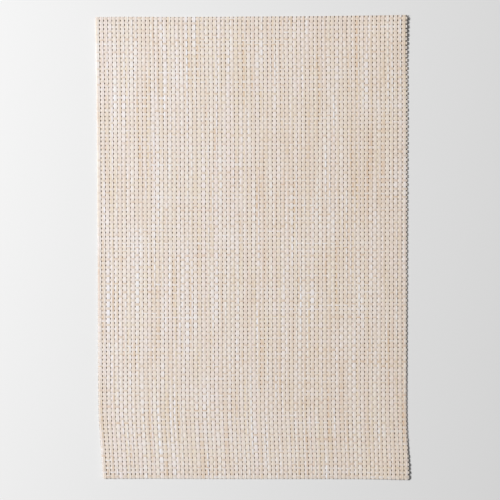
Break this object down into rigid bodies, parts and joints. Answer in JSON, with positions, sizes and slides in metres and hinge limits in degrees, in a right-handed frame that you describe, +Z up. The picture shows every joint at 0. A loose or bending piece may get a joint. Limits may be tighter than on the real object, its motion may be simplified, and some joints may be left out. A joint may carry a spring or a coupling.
{
  "type": "placemat",
  "caption": "Rectangular woven table mat with cut and sealed edges, lying flat, its outline slightly uneven at the corners.",
  "frame": {"origin": "under the middle of the mat, on the surface that it lies on", "axes": "+Y along the long side, +X along the short side, +Z up through the cloth's thickness"},
  "size_m": [0.304, 0.4526, 0.0032],
  "materials": {
    "woven_cloth": "basket weave of vinyl-coated yarn, cream, white and tan, dull with a faint sheen"
  },
  "bodies": {
    "root": {"placemat": "woven_cloth"}
  },
  "joints": []
}
